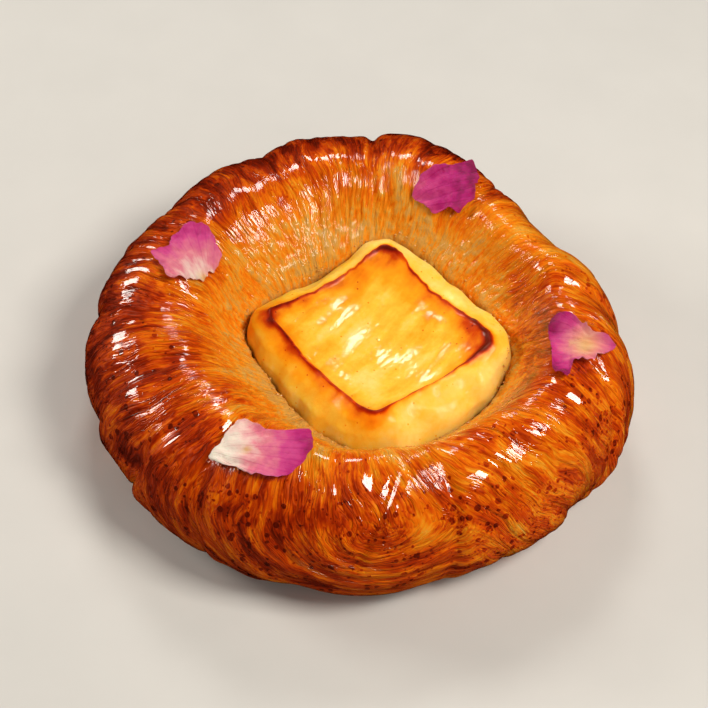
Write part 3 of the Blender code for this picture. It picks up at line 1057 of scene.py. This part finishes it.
    def build(self, node: bpy.types.Object) -> bpy.types.Object:
        """Builds the ring's skin over its solid.

        Args:
            node: the dough node of the frame.

        Returns:
            The dressed piece.
        """
        tree = surface_tree(node)
        degrees, angles = full_turn(self.columns)
        seen = self.cast_rows(tree, degrees, angles)
        strands = self.lay_strands(seen)
        taut = smooth_step(-0.25, 0.15, gradient_noise(seen.points / (9.0 * MM), 8))
        taut = taut * smooth_step(0.2, 0.4, seen.along)
        raised, glaze_and_shade = self.raise_strands(seen, strands, taut)
        raised += gradient_noise(seen.points / (9.0 * MM), 5) * self.swell_height
        for crease in self.creases:
            raised -= crease.notch(seen, self.crest_along, self.flow_radius)
        skin = seen.points + grid_normals(seen.points) * raised[:, :, None]
        skin[:, :, 2] = np.maximum(skin[:, :, 2], 0.0)
        floor = height_below(tree, 0.0, 0.0)
        under = self.under_rings(tree, skin[0])
        well = self.well_rings(tree, angles, skin[-1], floor)
        crust = Skin("dough_crust", np.concatenate([under, skin, well]), np.zeros(3), np.array([0.0, 0.0, floor]))
        for name, grid in (
            ("flow_ring", strands.ring),
            ("flow_swirl", strands.swirl),
            ("swirl", strands.swirl_share),
            ("taut", taut),
            # Grooves darker and ridges lighter in the colour: partly pooled glaze, partly painted shade and painted
            # light.
            ("glaze_and_shade", glaze_and_shade),
            ("bake", self.browning(seen)),
            ("speckle", self.speckling(seen)),
        ):
            ends = ((len(under), len(well)),) + ((0, 0),) * (grid.ndim - 1)
            crust.paint(name, np.pad(grid, ends, mode="edge"))
        return crust.dress(CrustFinish().make(), "dough")


@dataclass
class CustardBlock:
    """The custard: soft sides, a basin on top, and a thin burnt ridge between them.

    Tables that go round the block start at the east. Rises are in degrees, and the sizes of the lip, the dip, the
    folds, the strokes and the hollow are in millimetres.
    """

    columns: int = 480
    side_rows: int = 60
    top_rows: int = 70
    core_height: float = 10.0 * MM
    bottom_rise: float = -20.0
    ridge_rises: tuple[float, float, int] = (8.0, 55.0, 95)
    lip_width: float = 0.55
    lip_height: float = 0.45
    dip_inset: float = 2.6
    dip_width: float = 2.2
    dip_depth: float = 0.20
    fold_sizes: tuple[float, float, float] = (5.5, 5.5, 16.0)
    fold_height: float = 0.80
    stroke_sizes: tuple[float, float, float] = (11.0, 3.4, 6.0)
    stroke_height: float = 0.26
    hollow_middle: tuple[float, float] = (7.0, -4.0)
    hollow_width: float = 10.0
    hollow_depth: float = 1.5
    corner_reach: tuple[float, float] = (17.5 * MM, 22.5 * MM)
    stroke_axes: tuple = ((0.616, 0.788, 0.0), (-0.788, 0.616, 0.0), (0.0, 0.0, 1.0))  # 52 degrees from the east
    side_browning: tuple = (
        (0.0, 0.35), (25.0, 0.0), (130.0, 0.0), (160.0, 0.5), (180.0, 1.2),
        (205.0, 1.1), (240.0, 1.0), (264.0, 1.1), (290.0, 0.15), (330.0, 0.10),
    )
    top_browning: tuple = (
        (0.0, 1.4), (30.0, 1.2), (60.0, 1.2), (90.0, 1.3), (130.0, 1.1), (160.0, 0.9),
        (190.0, 0.35), (240.0, 0.20), (270.0, 0.40), (300.0, 0.08), (335.0, 0.45),
    )
    corner_browning: tuple = ((0.0, 1.0), (80.0, 1.0), (170.0, 0.8), (265.0, 0.55), (300.0, 0.5), (335.0, 1.0))

    def ridge_rise(self, tree: BVHTree, core: Vector, angles: np.ndarray) -> np.ndarray:
        """The rise at which the ridge is seen from the core, by plan angle.

        Args:
            tree: search tree of the custard solid.
            core: a point inside it.
            angles: plan angles in radians.

        Returns:
            One rise in radians per plan angle.
        """
        rises = np.radians(np.linspace(*self.ridge_rises))
        best = []
        for angle in angles:
            heights = [reach(tree, core, heading_at(angle, rise)) * math.sin(rise) for rise in rises]
            best.append(rises[int(np.argmax(heights))])
        return blur_row(np.array(best), 3.0)

    def side_rings(self, tree: BVHTree, core: Vector, angles: np.ndarray) -> np.ndarray:
        """The rings of the sides, from the bottom up to the ridge.

        Args:
            tree: search tree of the custard solid.
            core: a point inside it.
            angles: plan angles in radians.

        Returns:
            The rings of points.
        """
        ridge = self.ridge_rise(tree, core, angles)
        bottom = math.radians(self.bottom_rise)
        side = np.zeros((self.side_rows, self.columns, 3))
        for row, share in enumerate(np.linspace(0.0, 1.0, self.side_rows)):
            for column, rise in enumerate(bottom + (ridge - bottom) * share**0.8):
                heading = heading_at(angles[column], rise)
                side[row, column] = core + heading * reach(tree, core, heading)
        return np.stack([blur(side[:, :, axis], 2.4, 1.0) for axis in range(3)], axis=-1)

    def top_rings(self, tree: BVHTree, edge: np.ndarray, core: np.ndarray) -> np.ndarray:
        """The rings of the basin, from just inside the ridge to near its middle.

        Args:
            tree: search tree of the custard solid.
            edge: the ridge's points.
            core: a point under the middle of the basin.

        Returns:
            The rings of points.
        """
        rings = []
        for step in range(self.top_rows + 1):
            share = 1.0 - (step / (self.top_rows + 1)) ** 1.2
            ring = core + (edge - core) * share
            heights = np.array([height_below(tree, x, y) for x, y in ring[:, :2]])
            ring[:, 2] = blur_row(heights, 3.0 + 30.0 * (1.0 - share) ** 0.8)
            rings.append(ring)
        rings = np.array(rings)
        missing = (edge[:, 2] - rings[0, :, 2])[None, :]
        rings[:, :, 2] += missing * bump_curve(np.linalg.norm(rings[:, :, :2] - edge[None, :, :2], axis=-1), 1.2 * MM)
        rings[:, :, 2] = blur(rings[:, :, 2], 0.0, 1.2)
        return rings[1:]

    def toasting(self, degrees: np.ndarray, rings: np.ndarray, edge: np.ndarray, beside: np.ndarray) -> np.ndarray:
        """How far each spot is toasted: a burnt line on the ridge, darkest at the corners.

        Args:
            degrees: plan angles.
            rings: the skin's points.
            edge: the ridge's points.
            beside: how far each point is from the ridge, below 0 on the side.

        Returns:
            A grid from 0, cream, to 1, burnt.
        """
        distance = np.linalg.norm(edge[:, :2] - edge[:, :2].mean(axis=0), axis=1)
        burnt = smooth_step(*self.corner_reach, distance) * round_table(degrees, self.corner_browning, 6.0)
        washed = round_table(degrees, self.top_browning, 8.0)
        stained = round_table(degrees, self.side_browning, 6.0)
        broken = gradient_noise(edge / (3.4 * MM), 12)
        uneven = 1.0 + 0.5 * gradient_noise(rings / (3.0 * MM), 14)
        away = np.abs(beside)
        line = bump_curve(beside, (0.27 + 0.50 * burnt) * MM) * (0.54 + 0.36 * burnt + 0.26 * broken)
        glow_in = np.exp(-away / ((1.5 + 2.4 * washed) * MM)) * (0.12 + 0.24 * washed + 0.50 * burnt)
        glow_out = np.exp(-away / ((0.8 + 2.5 * stained) * MM)) * (0.12 + 0.36 * burnt + 0.44 * stained)
        glow = np.where(beside > 0.0, glow_in, glow_out) * uneven
        return np.clip(0.06 + 0.07 * (beside > 0.0) + glow + line * np.clip(1.0 - glow, 0.0, 1.0), 0.0, 1.0)

    def build(self, node: bpy.types.Object) -> bpy.types.Object:
        """Builds the custard's skin over its solid.

        Args:
            node: the custard node of the frame.

        Returns:
            The dressed piece.
        """
        low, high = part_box("custard")
        middle = (low + high) / 2.0
        core = Vector((middle.x, middle.y, self.core_height))
        tree = surface_tree(node)
        degrees, angles = full_turn(self.columns)
        side = self.side_rings(tree, core, angles)
        edge = side[-1]
        rings = np.concatenate([side, self.top_rings(tree, edge, np.array(core))])
        normals = grid_normals(rings)
        inside = (np.arange(len(rings)) >= self.side_rows)[:, None]
        offset = np.linalg.norm(rings - edge[None], axis=-1)
        wobble = gradient_noise(edge / (2.6 * MM), 3) + 0.5 * gradient_noise(edge / (1.2 * MM), 6)
        beside = np.where(inside, offset, -offset) + 0.30 * MM * wobble

        # Over the solid lie the ridge's lip, a dip inside it, folds in the sides, and strokes and a hollow on top.
        lip = bump_curve(beside, self.lip_width * MM) * (0.9 + 0.5 * wobble) * self.lip_height * MM
        dip = bump_curve(offset - self.dip_inset * MM, self.dip_width * MM) * inside * self.dip_depth * MM
        folds = gradient_noise(rings / (np.array(self.fold_sizes) * MM), 8) * self.fold_height * MM
        folds = folds * ~inside * smooth_step(0.0, 4.0 * MM, offset)
        along_strokes = (rings @ np.array(self.stroke_axes).T) / (np.array(self.stroke_sizes) * MM)
        strokes = gradient_noise(along_strokes, 9) * self.stroke_height * MM * inside
        centre = np.linalg.norm(rings[:, :, :2] - np.array(self.hollow_middle) * MM, axis=-1)
        hollow = bump_curve(centre, self.hollow_width * MM) * self.hollow_depth * MM * inside
        rings = rings + normals * (lip - dip + folds + strokes - hollow)[:, :, None]
        base = float(low.z)
        rings[:, :, 2] = np.maximum(rings[:, :, 2], base)
        top_pole = np.array(core + Vector((0.0, 0.0, reach(tree, core, UP))))
        block = Skin("custard_block", rings, np.array([middle.x, middle.y, base]), top_pole)
        block.paint("toast", self.toasting(degrees, rings, edge, beside))
        block.paint("top", smooth_step(0.0, 1.5 * MM, np.where(inside, offset, 0.0)))
        return block.dress(CustardFinish().make(), "custard")


@dataclass
class RosePetal:
    """One petal: a thin curled leaf that lies on the ring.

    Its middle, base and outline are (x, y) places in millimetres, and its heart is a yellow spot's place and width.
    The seed and the slice pick the noise that its edge, ruffles and folds are read from.
    """

    side: str
    middle: tuple[float, float]
    outline: tuple[tuple[float, float], ...]
    base: tuple[float, float]
    blush_range: tuple[float, float]
    heart: tuple[float, float, float]
    length: float = 16.0 * MM
    curl: float = 0.6 * MM
    clearance: tuple[float, float] = (0.12 * MM, 0.16 * MM)  # over the fitted bed, and over the crust's own ridges
    ruffle_size: float = 4.0 * MM
    crumple_size: float = 1.9 * MM
    wrinkle_size: float = 0.9 * MM
    fold_count: float = 3.4
    fold_length: float = 13.0 * MM
    seed: int = 15
    fold_slice: float = 17.0
    columns: int = 120
    rows: int = 13
    thickness: float = 0.16 * MM

    @property
    def name(self) -> str:
        """The piece's name."""
        return f"rose_petal_{self.side}"

    def outline_radius(self, angles: np.ndarray) -> np.ndarray:
        """Distance from the petal's middle to its edge, a little ragged.

        Args:
            angles: plan angles in radians.

        Returns:
            One distance per plan angle.
        """
        points = np.array(self.outline) * MM - np.array(self.middle) * MM
        source = np.random.default_rng(len(self.outline))
        points = points * (1.0 + source.uniform(-0.05, 0.05, (len(points), 1)))
        steps = np.linspace(0.0, 1.0, 40, endpoint=False)[None, :, None]
        following = np.roll(points, -1, axis=0)
        dense = (points[:, None] + (following - points)[:, None] * steps).reshape(-1, 2)
        turn = np.degrees(np.arctan2(dense[:, 1], dense[:, 0])) % 360.0
        order = np.argsort(turn)
        radius = np.interp(np.degrees(angles) % 360.0, turn[order], np.linalg.norm(dense, axis=1)[order], period=360.0)
        way = np.stack([np.cos(angles), np.sin(angles), np.full_like(angles, self.seed)], axis=1)
        radius = radius + 0.40 * MM * gradient_noise(way * 8.0, 21) + 0.22 * MM * gradient_noise(way * 22.0, 22)
        return blur_row(radius, 0.7)

    def bed(self, crust: BVHTree, plan: np.ndarray, middle: np.ndarray) -> np.ndarray:
        """The smooth shape in which the petal settles on the crust, clear of its ridges.

        Args:
            crust: search tree of the crust's skin.
            plan: the places of one sheet of the petal.
            middle: its middle.

        Returns:
            One height per place.
        """
        flat = plan.reshape(-1, 2)
        ground = np.array([height_below(crust, x, y) for x, y in flat])
        x, y = (flat - middle).T
        terms = np.stack([np.ones_like(x), x, y, x**2, x * y, y**2], axis=1)
        fit = np.linalg.lstsq(terms, ground, rcond=None)[0]
        settled = np.maximum((terms @ fit) + self.clearance[0], ground + self.clearance[1])
        return blur(settled.reshape(plan.shape[:2]), 1.5, 0.8)

    def build(self, crust: BVHTree, finish: bpy.types.Material) -> bpy.types.Object:
        """Builds the petal over the finished crust: one sheet from the middle to the edge, and one back over it.

        Args:
            crust: search tree of the crust's skin.
            finish: the petals' material.

        Returns:
            The dressed piece.
        """
        angles = np.arange(self.columns) * 2.0 * math.pi / self.columns
        outward = 1.0 - (1.0 - np.linspace(0.0, 1.0, self.rows + 1)) ** 1.9
        shares = np.concatenate([outward[1:], outward[-2:0:-1]])
        upper = np.arange(len(shares)) >= self.rows
        middle = np.array(self.middle) * MM
        edge = self.outline_radius(angles)[:, None] * np.stack([np.cos(angles), np.sin(angles)], axis=1)
        plan = middle + shares[:, None, None] * edge[None]
        relative = plan - np.array(self.base) * MM
        away = np.linalg.norm(relative, axis=-1)
        axis = middle - np.array(self.base) * MM
        axis = axis / np.linalg.norm(axis)
        turn = np.arctan2(relative @ np.array([-axis[1], axis[0]]), np.abs(relative @ axis) + 4.0 * MM)

        # The upper sheet follows the lower one, so the relief is worked out once.
        sheet = plan[: self.rows]
        out = outward[1:, None]
        ruffle = plan_noise(sheet, self.ruffle_size, self.seed)
        crumple = plan_noise(sheet, self.crumple_size, 5)
        wrinkle = plan_noise(sheet, self.wrinkle_size, 6)
        rays = np.stack([turn * self.fold_count, away / self.fold_length, np.full_like(turn, self.fold_slice)], axis=-1)
        folds = np.abs(gradient_noise(rays[: self.rows], 41))
        raised = 0.35 * np.abs(ruffle) + 0.45 * np.abs(crumple) + 0.14 * wrinkle + 1.6 * folds
        rest = self.bed(crust, sheet, middle) + self.curl * (out**4) * (1.0 + 0.9 * ruffle)
        rest += raised * MM * out**0.8
        thick = self.thickness * np.sqrt(np.clip(1.0 - shares**6, 0.0, 1.0))
        height = np.concatenate([rest, rest[-2::-1]]) + np.where(upper, thick, 0.0)[:, None]
        rings = np.concatenate([plan, height[:, :, None]], axis=-1)
        low_pole = np.array([*middle, rest[0].mean()])
        petal = Skin(self.name, rings, low_pole, low_pole + np.array([0.0, 0.0, self.thickness]))
        low, high = self.blush_range
        petal.paint("blush", low + (high - low) * np.clip(away / self.length, 0.0, 1.0))
        heart = np.linalg.norm(plan - np.array(self.heart[:2]) * MM, axis=-1)
        petal.paint("heart", bump_curve(heart, self.heart[2] * MM))
        petal.paint("fan", np.stack([turn, away / (4.0 * MM), np.zeros_like(turn)], axis=-1))
        return petal.dress(finish, f"petal_{self.side}")


@dataclass
class Crumbs:
    """Loose bits of crust in the seam between the custard and the dough, joined into one piece."""

    count: int = 260
    sizes: tuple[float, float] = (0.12 * MM, 0.40 * MM)
    seam_height: float = 14.0 * MM
    spread: tuple[float, float] = (-0.5 * MM, 0.9 * MM)
    unevenness: tuple[float, float] = (0.6, 1.15)
    seed: int = 17

    def build(self, crust: BVHTree, custard: BVHTree) -> bpy.types.Object:
        """Builds the crumbs on whatever lies below each of them.

        Args:
            crust: search tree of the crust's skin.
            custard: search tree of the custard's skin.

        Returns:
            The dressed piece.
        """
        source = np.random.default_rng(self.seed)
        low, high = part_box("custard")
        middle = (low + high) / 2.0
        seam = Vector((middle.x, middle.y, self.seam_height))
        shape = bmesh.new()
        for _ in range(self.count):
            heading = heading_at(source.uniform(0.0, 2.0 * math.pi))
            size = self.sizes[0] + (self.sizes[1] - self.sizes[0]) * source.random() ** 2
            place = seam + heading * (reach(crust, seam, heading) + source.uniform(*self.spread))
            place.z = max(height_below(tree, place.x, place.y, missed=1.0) for tree in (crust, custard))
            place.z += 0.4 * size
            for vertex in bmesh.ops.create_icosphere(shape, subdivisions=1, radius=size)["verts"]:
                vertex.co = place + vertex.co * source.uniform(*self.unevenness)
        bmesh.ops.recalc_face_normals(shape, faces=shape.faces)
        piece = as_piece("crumbs", shape)
        piece.data.materials.append(CrumbFinish().make())
        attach(piece, BODY)
        return piece


@dataclass(frozen=True)
class Lamp:
    """A rectangular light, in metres and watts, which the glaze mirrors or doesn't."""

    name: str
    place: tuple[float, float, float]
    size: tuple[float, float]
    power: float
    colour: tuple[float, float, float] = (1.0, 0.96, 0.88)
    mirrored: bool = True


@dataclass
class Studio:
    """A pale floor, soft lights and the camera."""

    floor_colour: tuple[float, float, float] = (0.64, 0.62, 0.59)
    floor_size: float = 1.5
    target: tuple[float, float, float] = (0.0, 0.0, 16.0 * MM)
    distance: float = 0.400
    elevation: float = 51.0
    lens: float = 100.9
    sensor: float = 36.0
    shift: tuple[float, float] = (-3.0 / 708.0, -11.0 / 708.0)
    room_colour: tuple[float, float, float] = (1.0, 0.97, 0.93)
    room_glow: float = 0.06
    lamps: tuple[Lamp, ...] = (
        Lamp("right_key", (0.280, -0.140, 0.450), (0.19, 0.18), 2.4),
        Lamp("left_side", (-0.468, 0.170, 0.248), (0.17, 0.17), 1.5),
        Lamp("back_top", (-0.019, 0.367, 0.425), (0.16, 0.12), 0.9, (1.0, 0.97, 0.92)),
        Lamp("front_fill", (0.10, -0.45, 0.42), (0.40, 0.30), 0.55, (1.0, 0.95, 0.88), mirrored=False),
    )

    def floor(self) -> None:
        """Lays the floor."""
        shape = bmesh.new()
        bmesh.ops.create_grid(shape, x_segments=1, y_segments=1, size=self.floor_size)
        piece = as_piece("floor", shape)
        recipe = Recipe("pale_floor")
        low = tuple(0.97 * part for part in self.floor_colour)
        tones = ((0.3, low), (0.7, self.floor_colour))
        recipe.set(Base_Color=recipe.ramp(recipe.noise(60.0, 3.0), tones), Roughness=0.7)
        piece.data.materials.append(recipe.material)
        piece.visible_glossy = False

    def light(self) -> None:
        """Hangs the lights and sets the room's own dim glow."""
        for lamp in self.lamps:
            light = bpy.data.lights.new(lamp.name, "AREA")
            light.shape = "RECTANGLE"
            light.size, light.size_y = lamp.size
            light.energy = lamp.power
            light.color = lamp.colour
            stand = bpy.data.objects.new(lamp.name, light)
            stand.location = lamp.place
            stand.visible_glossy = lamp.mirrored
            stand.rotation_euler = (Vector(self.target) - Vector(lamp.place)).to_track_quat("-Z", "Y").to_euler()
            bpy.context.scene.collection.objects.link(stand)
        room = bpy.data.worlds.new("studio")
        room.use_nodes = True
        glow = room.node_tree.nodes["Background"].inputs
        glow["Color"].default_value = (*self.room_colour, 1.0)
        glow["Strength"].default_value = self.room_glow
        bpy.context.scene.world = room
        room.cycles_visibility.glossy = False

    def camera(self) -> None:
        """Sets the camera up in front of and above the pastry."""
        data = bpy.data.cameras.new("camera")
        data.sensor_width = self.sensor
        data.lens = self.lens
        data.shift_x, data.shift_y = self.shift
        view = bpy.data.objects.new("camera", data)
        rise = math.radians(self.elevation)
        back = Vector((0.0, -math.cos(rise), math.sin(rise)))
        view.location = Vector(self.target) + back * self.distance
        view.rotation_euler = back.to_track_quat("Z", "Y").to_euler()
        bpy.context.scene.collection.objects.link(view)
        bpy.context.scene.camera = view

    def build(self) -> None:
        """Sets up the whole studio."""
        self.floor()
        self.light()
        self.camera()
        bpy.context.scene.view_settings.view_transform = "Standard"


PETALS = (
    RosePetal(
        side="west",
        middle=(-33.6, 11.2),
        outline=(
            (-32.9, 19.1), (-29.9, 17.7), (-28.0, 15.2), (-27.0, 12.6), (-27.7, 10.4), (-29.3, 8.1),
            (-30.6, 6.0), (-32.3, 5.8), (-34.2, 4.3), (-37.3, 4.3), (-38.4, 6.7), (-41.0, 10.2),
            (-39.7, 12.6), (-37.5, 12.7), (-36.9, 15.2), (-34.8, 17.8),
        ),
        base=(-30.6, 6.0),
        blush_range=(0.10, 1.0),
        heart=(-30.4, 6.6, 1.0),
    ),
    RosePetal(
        side="north",
        middle=(19.6, 30.6),
        outline=(
            (23.9, 37.2), (24.6, 34.2), (25.1, 31.4), (24.3, 29.6), (24.5, 26.8), (22.4, 26.0), (21.0, 24.4),
            (18.6, 25.6), (16.2, 26.3), (11.5, 30.1), (13.0, 33.0), (15.9, 33.7), (19.4, 34.6),
        ),
        base=(10.0, 29.0),
        blush_range=(0.58, 1.0),
        heart=(10.0, 29.0, 0.5),
        curl=1.0 * MM,
        seed=16,
        fold_slice=18.7,
    ),
    RosePetal(
        side="east",
        middle=(41.2, -11.2),
        outline=(
            (37.3, -5.4), (38.3, -4.2), (41.7, -5.1), (42.9, -7.8), (46.1, -10.0), (48.0, -9.7),
            (50.0, -11.2), (46.6, -14.3), (45.3, -15.8), (42.0, -15.9), (41.1, -16.5), (40.1, -20.8),
            (38.8, -21.0), (37.2, -18.7), (37.5, -12.9), (37.4, -7.8),
        ),
        base=(43.8, -12.0),
        blush_range=(0.22, 0.98),
        heart=(44.0, -12.0, 2.6),
        length=9.0 * MM,
        curl=1.2 * MM,
    ),
    RosePetal(
        side="south",
        middle=(-17.8, -36.6),
        outline=(
            (-27.7, -37.4), (-25.2, -34.9), (-23.8, -32.0), (-22.2, -29.4), (-17.6, -32.5),
            (-15.6, -33.2), (-11.7, -32.2), (-8.4, -29.8), (-7.9, -36.4), (-10.2, -40.0),
            (-12.8, -42.6), (-15.7, -43.0), (-19.4, -42.1), (-22.6, -39.6), (-26.0, -39.0),
        ),
        base=(-27.0, -35.5),
        blush_range=(-0.12, 0.98),
        heart=(-20.3, -37.0, 0.7),
        length=20.0 * MM,
        seed=16,
        fold_slice=18.7,
    ),
)


def main() -> None:
    """Builds the pastry's pieces in order, then the studio round them."""
    logging.basicConfig(level=logging.INFO, format="%(name)s: %(message)s")
    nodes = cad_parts
    crust = DoughRing().build(nodes["dough"])
    LOG.info("crust: %d faces", len(crust.data.polygons))
    custard = CustardBlock().build(nodes["custard"])
    LOG.info("custard: %d faces", len(custard.data.polygons))
    surface = surface_tree(crust)
    finish = PetalFinish().make()
    for petal in PETALS:
        LOG.info("%s: %d faces", petal.name, len(petal.build(surface, finish).data.polygons))
    crumbs = Crumbs().build(surface, surface_tree(custard))
    LOG.info("crumbs: %d faces", len(crumbs.data.polygons))
    Studio().build()


if __name__ == "__main__":
    main()
